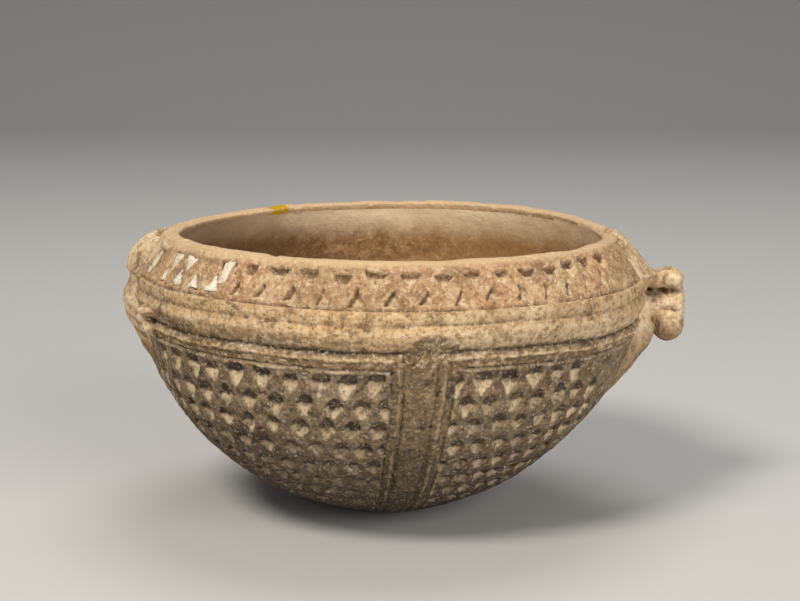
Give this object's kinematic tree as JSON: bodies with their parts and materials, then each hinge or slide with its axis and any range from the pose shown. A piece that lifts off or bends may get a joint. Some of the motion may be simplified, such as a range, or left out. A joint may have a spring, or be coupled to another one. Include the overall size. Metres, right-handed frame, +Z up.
{
  "type": "bowl-shaped jar",
  "caption": "Small round-bottomed pottery jar with an in-turned collar, carved triangular notches, diamond-pitted panels, upright ribs and two lugs.",
  "frame": {"origin": "centre of the small flat foot, on the surface the jar stands on", "axes": "+Z up through the mouth, +X towards the whole lug, -X towards the broken lug"},
  "size_m": [0.1392, 0.1244, 0.0698],
  "materials": {
    "clay": "burnished low-fired earthenware, worn dull",
    "dark_clay": "fire-clouded earthenware, dull",
    "pale_clay": "ochre-buff earthenware, wiped smooth",
    "white_paste": "chalky white inlay"
  },
  "bodies": {
    "root": {"lower_bowl": "dark_clay", "shoulder_cordon": "pale_clay", "rim_collar": "clay", "front_rib": "clay", "back_rib": "clay", "right_lug_strap": "pale_clay", "right_lug_stem": "pale_clay", "right_lug_bar": "pale_clay", "right_lug_buttress": "clay", "left_lug_strap": "pale_clay", "left_lug_stump": "pale_clay", "left_lug_buttress": "clay", "white_inlay_upper_1": "white_paste", "white_inlay_upper_2": "white_paste", "white_inlay_upper_3": "white_paste", "white_inlay_lower_1": "white_paste", "white_inlay_lower_2": "white_paste", "white_inlay_lower_3": "white_paste", "white_inlay_lower_4": "white_paste", "white_groove_fill": "white_paste"}
  },
  "joints": []
}
